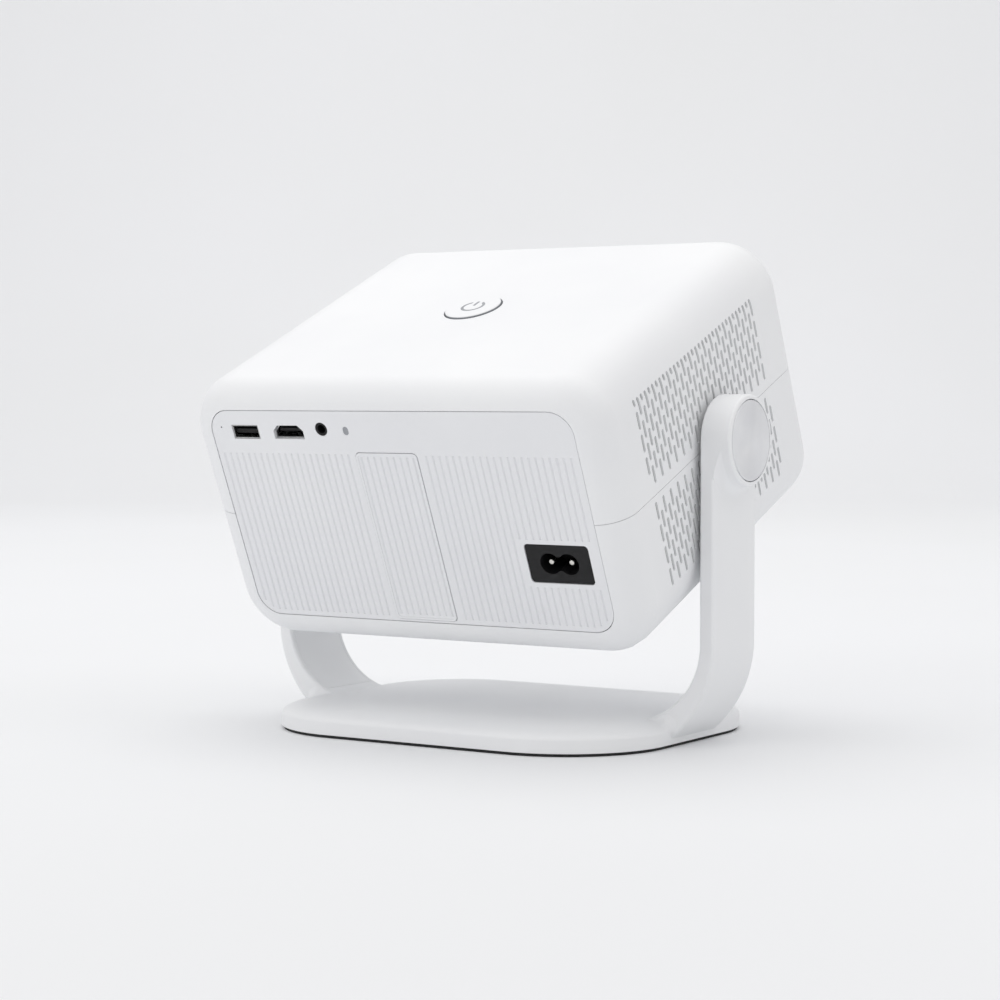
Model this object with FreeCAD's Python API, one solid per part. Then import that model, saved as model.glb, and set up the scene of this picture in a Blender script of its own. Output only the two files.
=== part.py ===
import FreeCAD, Part
import math
import os

# Home projector on a U-shaped stand, in millimetres. X runs along the tilt axis, the lens looks
# towards -Y, the sockets face +Y and Z is up. The origin is on the floor below the tilt axis.
# The head is modelled level about the tilt axis, then turned nose-up by rest_tilt.

# Head
head_width = 189.8
head_depth = 155.0
head_height = 112.4
long_edge_radius = 22.0
end_edge_radius = 12.5
wall = 2.5
seam_height = 0.95
seam_gap = 0.2
seam_lip = 1.3
rest_tilt = 23.39
pivot_height = 117.15

# Rear and front panels
panel_half_width = 82.7
panel_top = 45.5
panel_bottom = -43.5
panel_corner = 9.5
panel_sink = 0.2
panel_thickness = 2.3
panel_gap = 0.3
flute_pitch = 3.0
flute_count = 54
flute_first = 79.8
flute_top = 27.6
flute_bottom_margin = 2.0
flute_width = 1.1
flute_depth = 0.55
front_panel_sink = 0.9

# Removable cover in the rear panel
door_left = 16.2
door_right = -12.0
door_top = 28.3
door_bottom = -42.4
door_corner = 2.0
door_thickness = 1.9
door_rim_width = 0.9
door_gap = 0.25
door_step = 0.25

# Sockets in the rear panel
port_height = 36.6
usb_centre = 66.1
usb_width = 12.5
usb_height = 5.5
hdmi_centre = 45.4
hdmi_width = 14.3
hdmi_height = 5.7
hdmi_chamfer = 2.3
audio_centre = 29.3
audio_height = 38.0
audio_collar_radius = 2.7
audio_bore_radius = 1.8
audio_bore_depth = 12.0
led_centre = 17.9
led_height = 37.4
pinhole_centre = 77.7
pinhole_height = 38.5
inlet_centre = -64.0
inlet_height = -15.8
inlet_width = 27.3
inlet_tall = 15.7
inlet_corner = 1.5
inlet_lobe_radius = 4.3
inlet_lobe_offset = 4.0
inlet_waist = 5.8
inlet_depth = 12.5
pin_radius = 1.2
pin_offset = 4.4

# Side vents
vent_columns = 34
vent_column_pitch = 3.002
vent_first_column = 52.16
vent_row_pitch = 9.06
vent_slot_width = 1.6
vent_slot_length = 7.1
vent_top = 39.4
vent_bottom = -36.0
vent_first_row = 40.28
vent_shortest = 2.0
vent_hub_clearance = 12.5
vent_seam_clearance = 1.2
vent_skin = 0.8
vent_margin = 2.0
mesh_gap = 0.05
mesh_thickness = 0.6

# Power button
button_centre = 1.8
button_rise = 0.8
button_radius = 11.35
button_band = 0.3
button_hole_radius = 12.0
mark_radius = 4.4
mark_line = 1.2
mark_depth = 0.3

# Stand
arm_inner = 97.1
arm_outer = 103.0
boss_outer = 109.8
boss_flare = 5.0
arm_half_width = 17.6
arm_inner_bend = 30.5
arm_outer_bend = 46.5
arm_bend_height = 40.0
arm_outer_bend_height = 40.0
arm_edge_radius = 1.2
cap_radius = 15.5
cap_gap = 0.35
base_half_length = 85.4
base_half_depth = 69.7
base_centre = -2.2
base_corner = 44.0
base_top = 10.4
base_edge_radius = 2.6
base_collar = 3.0
base_wall = 2.4
pad_height = 1.2
plate_top = 3.4

# Tilt hinge
bolt_radius = 4.0
running_gap = 0.05
spigot_radius = 10.3
spigot_end = 96.5
washer_radius = 12.5
hub_flange_radius = 15.0

# Fan and lens
fan_size = 50.0
fan_centre = 36.0
fan_near = 76.0
fan_far = 88.0
fan_bore = 23.3
fan_blades = 7
lens_radius = 22.0
screw_offset = 31.0
screw_radius = 1.5

half_width = head_width / 2
half_depth = head_depth / 2
half_height = head_height / 2
inner_width = half_width - wall
inner_height = half_height - wall
panel_face = half_depth - panel_sink
panel_back = panel_face - panel_thickness

along_x = FreeCAD.Vector(1, 0, 0)
along_y = FreeCAD.Vector(0, 1, 0)
along_z = FreeCAD.Vector(0, 0, 1)
origin = FreeCAD.Vector(0, 0, 0)


def vec(x, y, z):
    return FreeCAD.Vector(x, y, z)


def block(x0, x1, y0, y1, z0, z1):
    return Part.makeBox(x1 - x0, y1 - y0, z1 - z0, vec(x0, y0, z0))


def rod(start, end, radius):
    axis = end.sub(start)
    return Part.makeCylinder(radius, axis.Length, start, axis)


def tube(start, end, outer, inner):
    return rod(start, end, outer).cut(rod(start, end, inner))


def rod_x(x0, x1, y, z, radius):
    return rod(vec(x0, y, z), vec(x1, y, z), radius)


def rod_y(y0, y1, x, z, radius):
    return rod(vec(x, y0, z), vec(x, y1, z), radius)


def rod_z(z0, z1, x, y, radius):
    return rod(vec(x, y, z0), vec(x, y, z1), radius)


def straight_edges(shape, axis):
    found = []
    for edge in shape.Edges:
        if isinstance(edge.Curve, Part.Line) and abs(edge.tangentAt(edge.FirstParameter).dot(axis)) > 0.999:
            found.append(edge)
    return found


def rounded_block(x0, x1, y0, y1, z0, z1, axis, radius):
    shape = block(x0, x1, y0, y1, z0, z1)
    return shape.makeFillet(radius, straight_edges(shape, axis))


def fuse_all(shapes):
    return shapes[0].multiFuse(shapes[1:]) if len(shapes) > 1 else shapes[0]


def mirrored(shape):
    return shape.mirror(origin, along_x)


def in_head(shape):
    placed = shape.copy()
    placed.rotate(origin, along_x, -rest_tilt)
    placed.translate(vec(0, 0, pivot_height))
    return placed


def save(name, shape, head=True):
    placed = in_head(shape) if head else shape
    placed.exportStep("parts/" + name + ".step")
    print(name, len(placed.Solids), "solid(s)", placed.isValid())


# ---- head shells ----

def head_block(inset):
    body = block(-half_width + inset, half_width - inset, -half_depth + inset, half_depth - inset,
                 -half_height + inset, half_height - inset)
    body = body.makeFillet(long_edge_radius - inset, straight_edges(body, along_y))
    rim = []
    for edge in body.Edges:
        box = edge.BoundBox
        if box.YLength < 0.01 and abs(abs(box.YMin) - (half_depth - inset)) < 0.01:
            rim.append(edge)
    return body.makeFillet(end_edge_radius - inset, rim)


def panel_prism(grow, y0, y1):
    return rounded_block(-panel_half_width - grow, panel_half_width + grow, y0, y1,
                         panel_bottom - grow, panel_top + grow, along_y, panel_corner + grow)


def slot_face(low, high, x, y):
    radius = vent_slot_width / 2
    left = Part.LineSegment(vec(x, y - radius, low + radius), vec(x, y - radius, high - radius))
    top = Part.Arc(vec(x, y - radius, high - radius), vec(x, y, high), vec(x, y + radius, high - radius))
    right = Part.LineSegment(vec(x, y + radius, high - radius), vec(x, y + radius, low + radius))
    bottom = Part.Arc(vec(x, y + radius, low + radius), vec(x, y, low), vec(x, y - radius, low + radius))
    return Part.Face(Part.Wire([piece.toShape() for piece in (left, top, right, bottom)]))


def vent_spans():
    """Yields each slot's place along the head and its lower and upper ends."""
    rows = int((vent_first_row - vent_bottom) / vent_row_pitch) + 1
    for column in range(vent_columns):
        y = vent_first_column - column * vent_column_pitch
        for row in range(rows):
            centre = vent_first_row - (row + 0.5 * (column % 2)) * vent_row_pitch
            low = centre - vent_slot_length / 2
            high = min(centre + vent_slot_length / 2, vent_top)
            near_seam = low < seam_height + vent_seam_clearance and high > seam_height - vent_seam_clearance
            behind_hub = math.hypot(y, max(low, -high, 0.0)) < vent_hub_clearance
            if low > vent_bottom and high - low > vent_shortest and not near_seam and not behind_hub:
                yield y, low, high


def vent_cutters(upper):
    cutters = []
    for y, low, high in vent_spans():
        if (low > seam_height) == upper:
            for side in (-1, 1):
                start = side * (inner_width - 1.0)
                cutters.append(slot_face(low, high, start, y).extrude(vec(side * (wall + 2.0), 0, 0)))
    return Part.makeCompound(cutters)


def vent_field(depth, thickness, margin, hub):
    """Layer under the left side's surface, behind the slots and clear of the hinge hub."""
    reach = vent_first_column + margin
    field = block(inner_width - 1.5, half_width, -reach, reach, vent_bottom - margin, vent_top + margin)
    field = field.common(head_block(depth).cut(head_block(depth + thickness)))
    return field.cut(rod_x(inner_width - 2, half_width, 0, 0, hub))


def screw_places():
    return [(x, y) for x in (-84.0, 84.0) for y in (-69.2, 66.0)]


def make_shells():
    skin = head_block(0.0).cut(head_block(wall))
    posts = [rod_z(-half_height, half_height, x, y, 3.5) for x, y in screw_places()]
    skin = skin.fuse(fuse_all(posts).common(head_block(wall / 2)))
    pocket = vent_field(vent_skin, wall, vent_margin, hub_flange_radius + 0.7)
    skin = skin.cut(pocket).cut(mirrored(pocket))
    reach = half_width + 5
    above = block(-reach, reach, -reach, reach, seam_height + seam_gap / 2, reach)
    below = block(-reach, reach, -reach, reach, -reach, seam_height - seam_gap / 2)
    inside = head_block(wall + 0.01)
    lip = head_block(seam_lip + 0.15).cut(inside)
    rebate = head_block(seam_lip).cut(inside)
    lip = lip.common(block(-reach, reach, -reach, reach, seam_height - 0.8, seam_height + 1.0))
    rebate = rebate.common(block(-reach, reach, -reach, reach, seam_height - 0.8, seam_height + 1.2))
    openings = [panel_prism(panel_gap, panel_back - 2.0, half_depth + 1.0),
                panel_prism(panel_gap, -half_depth - 1.0, -panel_back + 2.0),
                rod_x(-half_width - 1, half_width + 1, 0, 0, spigot_radius + 0.3),
                rod_z(inner_height - 1, half_height + 1, button_centre, 0, button_hole_radius)]
    pilots = [rod_z(0, 10, x, y, 1.3) for x, y in screw_places()]
    bores = [rod_z(-45, seam_height + 2, x, y, 1.6) for x, y in screw_places()]
    bores += [rod_z(-half_height - 1, -40, x, y, 3.2) for x, y in screw_places()]
    upper, lower = skin.common(above).cut(rebate), skin.common(below)
    for opening in openings:
        upper, lower, lip = upper.cut(opening), lower.cut(opening), lip.cut(opening)
    lower = lower.fuse(lip)
    upper = upper.cut(Part.makeCompound(pilots)).cut(vent_cutters(True))
    lower = lower.cut(fuse_all(bores)).cut(vent_cutters(False))
    save("top_shell", upper)
    save("bottom_shell", lower)


def make_shell_screws():
    screws = []
    for x, y in screw_places():
        screws.append(rod_z(-42.0, -40.0, x, y, 3.0).fuse(rod_z(-40.0, 9.0, x, y, 1.3)))
    save("shell_screws", Part.makeCompound(screws))


def make_vent_meshes():
    sheet = vent_field(vent_skin + mesh_gap, mesh_thickness, vent_margin - 0.3, hub_flange_radius + 1.2)
    save("vent_mesh_left", sheet)
    save("vent_mesh_right", mirrored(sheet))


# ---- rear panel, its cover and the front panel ----

def flute(x, low, high, face):
    edge = flute_width / 2
    corners = [vec(x - edge, face, low), vec(x, face - flute_depth, low), vec(x + edge, face, low)]
    outline = Part.makePolygon([vec(x - edge, face + 1, low)] + corners
                               + [vec(x + edge, face + 1, low), vec(x - edge, face + 1, low)])
    return Part.Face(outline).extrude(vec(0, 0, high - low))


def flute_places():
    return [flute_first - step * flute_pitch for step in range(flute_count)]


def corner_rise(x, low):
    """Lower end of a flute, lifted where the panel's bottom corners are round."""
    inside = panel_half_width - flute_bottom_margin - abs(x)
    radius = panel_corner - flute_bottom_margin
    if inside >= radius:
        return low
    return low + radius - math.sqrt(radius ** 2 - (radius - inside) ** 2)


def panel_flutes():
    low = panel_bottom + flute_bottom_margin
    keep_out = inlet_width / 2 + 2.0
    flutes = []
    for x in flute_places():
        if door_right - 1.4 < x < door_left + 1.4:
            continue
        if abs(x - inlet_centre) < keep_out:
            rise = inlet_height + inlet_tall / 2 + 2.0
            drop = inlet_height - inlet_tall / 2 - 2.0
            flutes.append(flute(x, rise, flute_top, panel_face))
            flutes.append(flute(x, corner_rise(x, low), drop, panel_face))
        else:
            flutes.append(flute(x, corner_rise(x, low), flute_top, panel_face))
    return Part.makeCompound(flutes)


def hdmi_prism(grow, y0, y1):
    half = hdmi_width / 2 + grow
    low = port_height - hdmi_height / 2 - grow
    high = port_height + hdmi_height / 2 + grow
    points = [vec(-half, 0, low), vec(half, 0, low), vec(half, 0, high - hdmi_chamfer),
              vec(half - hdmi_chamfer, 0, high), vec(hdmi_chamfer - half, 0, high),
              vec(-half, 0, high - hdmi_chamfer), vec(-half, 0, low)]
    face = Part.Face(Part.makePolygon(points))
    face.translate(vec(hdmi_centre, y0, 0))
    return face.extrude(vec(0, y1 - y0, 0))


def led_prism(grow, y0, y1):
    narrow, tall = 1.2 + grow, 1.7 + grow
    return rounded_block(led_centre - narrow, led_centre + narrow, y0, y1,
                         led_height - tall, led_height + tall, along_y, narrow - 0.01)


def usb_block(grow, y0, y1):
    return block(usb_centre - usb_width / 2 - grow, usb_centre + usb_width / 2 + grow, y0, y1,
                 port_height - usb_height / 2 - grow, port_height + usb_height / 2 + grow)


def inlet_block(grow, y0, y1):
    half, tall = inlet_width / 2 + grow, inlet_tall / 2 + grow
    return rounded_block(inlet_centre - half, inlet_centre + half, y0, y1,
                         inlet_height - tall, inlet_height + tall, along_y, inlet_corner + grow)


def door_prism(grow, y0, y1):
    return rounded_block(door_right - grow, door_left + grow, y0, y1,
                         door_bottom - grow, door_top + grow, along_y, door_corner + grow)


def make_rear_panel():
    back, front = panel_back - 1.0, panel_face + 1.0
    panel = panel_prism(0.0, panel_back, panel_face)
    cutters = [usb_block(0.2, back, front), hdmi_prism(0.0, back, front), led_prism(0.05, back, front),
               rod_y(back, front, audio_centre, audio_height, audio_collar_radius + 0.1),
               rod_y(back, front, pinhole_centre, pinhole_height, 0.4),
               inlet_block(0.2, back, front), door_prism(door_gap, back, front)]
    panel = panel.cut(Part.makeCompound(cutters)).cut(panel_flutes())
    save("rear_panel", panel)


def make_door():
    """Cover with a thin raised rim round its own flutes, and a short tab at each end."""
    rim = panel_face + door_step
    door = door_prism(0.0, rim - door_thickness, rim)
    field = rounded_block(door_right + door_rim_width, door_left - door_rim_width, panel_face, rim + 1,
                          door_bottom + door_rim_width, door_top - door_rim_width, along_y, 1.2)
    door = door.cut(field)
    low, high = door_bottom + 2.0, door_top - 1.6
    inside = [x for x in flute_places() if door_right + 1.4 < x < door_left - 1.0]
    door = door.cut(Part.makeCompound([flute(x, low, high, panel_face) for x in inside]))
    middle = (door_left + door_right) / 2
    for end in (door_bottom + 1.2, door_top - 2.4):
        door = door.fuse(block(middle - 5, middle + 5, panel_back - 1.5, panel_face - 1.0, end, end + 1.2))
    save("service_door", door)


def make_door_gasket():
    """Foam frame behind the cover; it closes the way in to the optical engine."""
    back = panel_back - 4.0
    frame = door_prism(2.2, back, panel_back)
    frame = frame.cut(door_prism(-0.6, back - 1, panel_back + 1))
    save("door_gasket", frame)


def make_front_panel():
    face = -half_depth + front_panel_sink
    panel = panel_prism(0.0, face, face + panel_thickness)
    panel = panel.cut(rod_y(face - 1, face + 5, 0, 0, 30.0))
    save("front_panel", panel)
    cone = Part.makeCone(29.7, 24.0, 11.0, vec(0, face + 0.2, 0), along_y)
    bore = Part.makeCone(28.5, 22.8, 11.0, vec(0, face + 0.2, 0), along_y)
    hood = cone.cut(bore).fuse(tube(vec(0, face + 5.2, 0), vec(0, face + 6.4, 0), 27.0, 25.2))
    save("lens_hood", hood)
    save("lens_window", rod_y(face + 3.4, face + 5.0, 0, 0, 25.5))


# ---- sockets ----

def make_inlet():
    face = panel_face - 0.3
    body = inlet_block(0.0, face - 2.0, face)
    body = body.fuse(block(inlet_centre - 11, inlet_centre + 11, 58.0, face - 2.0,
                           inlet_height - 6.2, inlet_height + 6.2))
    floor = face - inlet_depth
    recess = [rod_y(floor, face + 1, inlet_centre + side * inlet_lobe_offset, inlet_height, inlet_lobe_radius)
              for side in (-1, 1)]
    recess.append(block(inlet_centre - inlet_lobe_offset, inlet_centre + inlet_lobe_offset, floor, face + 1,
                        inlet_height - inlet_waist / 2, inlet_height + inlet_waist / 2))
    body = body.cut(fuse_all(recess))
    pins = []
    for side in (-1, 1):
        x = inlet_centre + side * pin_offset
        pin = rod_y(55.0, face - 1.2, x, inlet_height, pin_radius)
        tip = [edge for edge in pin.Edges if edge.BoundBox.YMin > face - 1.3]
        pins.append(pin.makeFillet(0.7, tip))
        body = body.cut(rod_y(50.0, face, x, inlet_height, pin_radius))
    save("ac_inlet", body)
    save("ac_pins", Part.makeCompound(pins))


def make_usb():
    front, back = panel_face - 0.3, 63.0
    can = usb_block(0.0, back, front).cut(usb_block(-0.35, back + 0.4, front + 1))
    tongue = block(usb_centre - 5.5, usb_centre + 5.5, back + 0.4, front - 1.0,
                   port_height - 0.9, port_height + 0.8)
    save("usb_port", can)
    return tongue


def make_hdmi():
    front, back = panel_face - 1.3, 65.0
    can = hdmi_prism(-0.1, back, front).cut(hdmi_prism(-0.5, back + 0.4, front + 1))
    tongue = block(hdmi_centre - 5.4, hdmi_centre + 5.4, back + 0.4, front - 1.0,
                   port_height - 0.3, port_height + 0.8)
    save("hdmi_port", can)
    return tongue


def make_audio():
    mouth = panel_face - 0.15
    jack = block(audio_centre - 3.2, audio_centre + 3.2, 62.0, panel_back, board_top, 41.4)
    jack = jack.fuse(rod_y(panel_back, mouth, audio_centre, audio_height, audio_collar_radius))
    jack = jack.cut(rod_y(mouth - audio_bore_depth, mouth + 1, audio_centre, audio_height, audio_bore_radius))
    save("audio_jack", jack)


# ---- power button ----

def power_mark(y0, y1):
    """Broken ring and bar, open towards the front."""
    ring = tube(vec(0, 0, y0), vec(0, 0, y1), mark_radius + mark_line / 2, mark_radius - mark_line / 2)
    ring = ring.cut(block(-2.2, 2.2, -mark_radius - 1, 0, y0 - 1, y1 + 1))
    bar = block(-mark_line / 2, mark_line / 2, -mark_radius - mark_line / 2, -0.6, y0, y1)
    return Part.makeCompound([ring, bar])


def make_button():
    """Proud round button with an inlaid mark, a grey band round its side, and its switch below."""
    top = half_height + button_rise
    foot = inner_height - 1.8
    plunger = rod_z(foot + 1.5, top, 0, 0, button_radius)
    plunger = plunger.makeFillet(0.3, [e for e in plunger.Edges if e.BoundBox.ZMin > top - 0.1])
    plunger = plunger.fuse(rod_z(foot, foot + 1.5, 0, 0, button_radius + 1.6))
    plunger = plunger.fuse(rod_z(foot - 1.5, foot, 0, 0, 3.0))
    band = tube(vec(0, 0, foot + 2.0), vec(0, 0, top - 0.35), button_radius, button_radius - button_band)
    mark = power_mark(top - mark_depth, top - 0.02)
    plunger = plunger.cut(power_mark(top - mark_depth, top + 1)).cut(band)
    board_level = inner_height - 8.5
    switch = block(-3, 3, -3, 3, board_level + 1.2, board_level + 3.6)
    switch = switch.fuse(rod_z(board_level + 3.6, inner_height - 4.5, 0, 0, 1.7))
    board = block(-14, 14, -10, 10, board_level, board_level + 1.2)
    pieces = {"power_button": plunger, "power_mark": Part.makeCompound([mark, band]),
              "button_board": board, "tact_switch": switch}
    for name, piece in pieces.items():
        piece.translate(vec(button_centre, 0, 0))
        save(name, piece)


# ---- circuit boards ----

board_top = port_height - hdmi_height / 2 - 0.05
board_bottom = board_top - 1.6


def make_boards():
    save("main_board", block(-60, 79, 12, 73.4, board_bottom, board_top))
    chip = block(-12, 12, 34, 58, board_top, board_top + 1.5)
    fins = [block(-12, 12, 34 + 3.6 * step, 35.2 + 3.6 * step, board_top + 1.5, board_top + 8) for step in range(7)]
    save("processor_cooler", fuse_all([chip] + fins))
    save("power_board", block(-79, -8, 8, 70, -46, -44.4))
    core = rounded_block(-72, -46, 20, 42, -44.4, -26.4, along_z, 1.5)
    save("transformer", core)
    cans = [rod_z(-44.4, -25.0, x, 54.0, 7.5) for x in (-60.0, -40.0)]
    save("capacitors", Part.makeCompound(cans))


# ---- optical engine ----

def make_engine():
    box = block(-34, 34, -34, 28, -27, 27).cut(block(-32, 32, -32, 29, -25, 25))
    box = box.cut(rod_y(-35, -31, 0, 0, lens_radius))
    save("optical_housing", box)
    save("lcd_panel", block(-32, 32, -6, -4.4, -25, 25))
    fresnels = [block(-32, 32, y, y + 1.5, -25, 25) for y in (-15.0, 3.0)]
    save("fresnel_lenses", Part.makeCompound(fresnels))
    dome = Part.makeSphere(18.0, vec(0, 27.0, 0)).common(block(-20, 20, 9, 24, -20, 20))
    dome = dome.fuse(rod_y(24.0, 27.0, 0, 0, math.sqrt(18.0 ** 2 - 3.0 ** 2)))
    save("condenser_lens", dome)
    board = block(-20, 20, 29.5, 31.1, -20, 20).fuse(block(-6, 6, 28.6, 29.5, -6, 6))
    save("led_board", board)
    fins = [block(-32, 32, 35.0, 60.0, z, z + 1.2) for z in [-25 + 4.88 * step for step in range(11)]]
    save("heat_sink", fuse_all([block(-32, 32, 31.1, 35.1, -25, 25)] + fins))


def make_lens():
    """Sleeve on the engine's front, and the lens barrel that a screw drives along it to focus."""
    sleeve = tube(vec(0, -64.5, 0), vec(0, -34, 0), 25.0, lens_radius + running_gap)
    sleeve = sleeve.fuse(block(-26, 26, -36, -34, -26, 26).cut(rod_y(-37, -33, 0, 0, lens_radius + running_gap)))
    sleeve = sleeve.cut(block(15, 27, -58.5, -45.5, -3.3, 3.3))
    save("lens_sleeve", sleeve)
    barrel = tube(vec(0, -64, 0), vec(0, -40, 0), lens_radius, 19.0)
    lug = block(20.5, screw_offset + 3.3, -54, -50, -2.8, 2.8)
    barrel = barrel.fuse(lug).cut(rod_y(-55, -49, screw_offset, 0, screw_radius + running_gap))
    save("lens_barrel", barrel)
    front = rod_y(-61, -55, 0, 0, 18.95).common(Part.makeSphere(40.0, vec(0, -22.5, 0)))
    rear = rod_y(-47, -42, 0, 0, 18.95).common(Part.makeSphere(45.0, vec(0, -87.5, 0)))
    save("lens_glass", Part.makeCompound([front, rear]))
    save("focus_screw", rod_y(-60.0, -42.3, screw_offset, 0, screw_radius))
    motor = rod_y(-42.0, -36.3, screw_offset, 0, 5.0)
    strip = block(screw_offset + 3.6, screw_offset + 5.0, -61.8, -41.0, -3.5, 3.5)
    end = block(screw_offset - 3.0, screw_offset + 5.0, -61.8, -60.3, -3.5, 3.5)
    save("focus_motor", fuse_all([motor, strip, end]))


# ---- fan and speakers ----

def make_fan():
    half = fan_size / 2
    frame = rounded_block(fan_near, fan_far, fan_centre - half, fan_centre + half, -half, half, along_x, 3.0)
    frame = frame.cut(rod_x(fan_near - 1, fan_far + 1, fan_centre, 0, fan_bore))
    frame = frame.fuse(rod_x(fan_far - 1.5, fan_far, fan_centre, 0, 10.0))
    for turn in range(3):
        strut = block(fan_far - 1.5, fan_far, fan_centre - 1.2, fan_centre + 1.2, 8.0, fan_bore + 0.8)
        strut.rotate(vec(0, fan_centre, 0), along_x, 120.0 * turn)
        frame = frame.fuse(strut)
    frame = frame.fuse(rod_x(fan_near + 2.0, fan_far - 1.5, fan_centre, 0, 1.5))
    save("fan_frame", frame)
    hub = rod_x(fan_near + 0.8, fan_far - 2.0, fan_centre, 0, 10.0)
    blades = []
    for turn in range(fan_blades):
        blade = block(-5.0, 5.0, -0.6, 0.6, 9.0, 22.4)
        blade.rotate(origin, along_z, 42.0)
        blade.translate(vec((fan_near + fan_far) / 2 - 0.6, fan_centre, 0))
        blade.rotate(vec(0, fan_centre, 0), along_x, 360.0 / fan_blades * turn)
        blades.append(blade)
    rotor = hub.multiFuse(blades)
    rotor = rotor.cut(rod_x(fan_near, fan_far, fan_centre, 0, 1.5 + running_gap))
    save("fan_rotor", rotor)


def make_speakers():
    centre = -44.0
    basket = tube(vec(84.0, centre, 0), vec(89.5, centre, 0), 20.0, 17.0)
    cone = Part.makeCone(9.0, 17.2, 3.5, vec(85.0, centre, 0), along_x)
    magnet = rod_x(74.0, 85.0, centre, 0, 12.0)
    plate = tube(vec(84.0, centre, 0), vec(85.2, centre, 0), 17.2, 11.0)
    speaker = fuse_all([basket, cone, magnet, plate])
    save("speaker_left", speaker)
    save("speaker_right", mirrored(speaker))


# ---- tilt hinge ----

def make_hinge():
    hub = fuse_all([rod_x(spigot_end - 8.2, inner_width, 0, 0, hub_flange_radius),
                    rod_x(spigot_end - 8.2, spigot_end, 0, 0, spigot_radius),
                    rod_x(84.0, spigot_end - 8.0, 0, 0, 8.0)])
    hub = hub.cut(rod_x(80, 100, 0, 0, bolt_radius + running_gap))
    bolt = rod_x(77.5, 104.0, 0, 0, bolt_radius).fuse(rod_x(104.0, 107.4, 0, 0, 7.0))
    nut_corners = [vec(78.4, 7.2 * math.cos(math.radians(60 * turn)), 7.2 * math.sin(math.radians(60 * turn)))
                   for turn in range(7)]
    nut = Part.Face(Part.makePolygon(nut_corners)).extrude(vec(3.6, 0, 0))
    nut = nut.cut(rod_x(77, 84, 0, 0, bolt_radius))
    spring = tube(vec(82.0, 0, 0), vec(83.7, 0, 0), 7.6, bolt_radius)
    washer = tube(vec(spigot_end + 0.3, 0, 0), vec(98.3, 0, 0), washer_radius, bolt_radius)
    cap = rod_x(108.0, boss_outer + 0.2, 0, 0, cap_radius)
    cap = cap.makeFillet(0.5, [e for e in cap.Edges if e.BoundBox.XMin > boss_outer])
    for side, name in ((1, "left"), (-1, "right")):
        place = (lambda shape: shape) if side > 0 else mirrored
        save("hinge_hub_" + name, place(hub))
        for label, shape in (("pivot_bolt_", bolt), ("friction_washer_", washer), ("pivot_cap_", cap)):
            placed = place(shape).copy()
            placed.translate(vec(0, 0, pivot_height))
            save(label + name, placed, head=False)
    for label, shape in (("hinge_nuts", nut), ("disc_springs", spring)):
        pair = Part.makeCompound([shape, mirrored(shape)])
        pair.translate(vec(0, 0, pivot_height))
        save(label, pair, head=False)


# ---- stand ----

def arm_profile():
    """Closed outline in the XZ plane: the strap and its bend into the base."""
    outer_centre = arm_outer - arm_outer_bend
    inner_centre = arm_inner - arm_inner_bend
    drop = math.asin((arm_outer_bend_height - plate_top) / arm_outer_bend)
    outer_end = vec(outer_centre + arm_outer_bend * math.cos(drop), 0, plate_top)
    inner_end = vec(inner_centre, 0, arm_bend_height - arm_inner_bend)
    top = pivot_height + arm_half_width
    bend_out = Part.Arc(vec(arm_outer, 0, arm_outer_bend_height),
                        vec(outer_centre + arm_outer_bend * math.cos(drop / 2), 0,
                            arm_outer_bend_height - arm_outer_bend * math.sin(drop / 2)), outer_end)
    bend_in = Part.Arc(inner_end,
                       vec(inner_centre + arm_inner_bend * math.sqrt(0.5), 0,
                           arm_bend_height - arm_inner_bend * math.sqrt(0.5)),
                       vec(arm_inner, 0, arm_bend_height))
    pieces = [Part.LineSegment(vec(arm_inner, 0, top), vec(arm_outer, 0, top)),
              Part.LineSegment(vec(arm_outer, 0, top), vec(arm_outer, 0, arm_outer_bend_height)),
              bend_out, Part.LineSegment(outer_end, vec(inner_end.x, 0, plate_top)),
              Part.LineSegment(vec(inner_end.x, 0, plate_top), inner_end), bend_in,
              Part.LineSegment(vec(arm_inner, 0, arm_bend_height), vec(arm_inner, 0, top))]
    return Part.Wire([piece.toShape() for piece in pieces])


def hinge_boss():
    """Round boss about the tilt axis that flares out into the strap's outer face below the axis."""
    radius, flare = arm_half_width, boss_flare
    start = arm_inner + 1.0
    hollow = vec(arm_outer + flare * (1 - math.sqrt(0.5)), 0, radius + flare * (1 - math.sqrt(0.5)))
    crest = arm_outer + flare + 0.8
    corners = [vec(start, 0, 0), vec(crest, 0, 0), vec(crest, 0, radius - 0.5),
               vec(arm_outer, 0, radius + flare), vec(start, 0, radius + flare)]
    pieces = [Part.LineSegment(corners[0], corners[1]), Part.LineSegment(corners[1], corners[2]),
              Part.Arc(corners[2], hollow, corners[3]), Part.LineSegment(corners[3], corners[4]),
              Part.LineSegment(corners[4], corners[0])]
    flared = Part.Face(Part.Wire([piece.toShape() for piece in pieces])).revolve(origin, along_x, 360)
    reach = radius + flare + 1
    flared = flared.common(block(0, boss_outer + 1, -radius, radius, -reach, 0))
    boss = rod_x(start, boss_outer, 0, 0, radius).fuse(flared)
    rim = [edge for edge in boss.Edges if edge.BoundBox.XMin > boss_outer - 0.01]
    boss = boss.makeFillet(arm_edge_radius, rim)
    boss.translate(vec(0, 0, pivot_height))
    return boss


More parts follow.
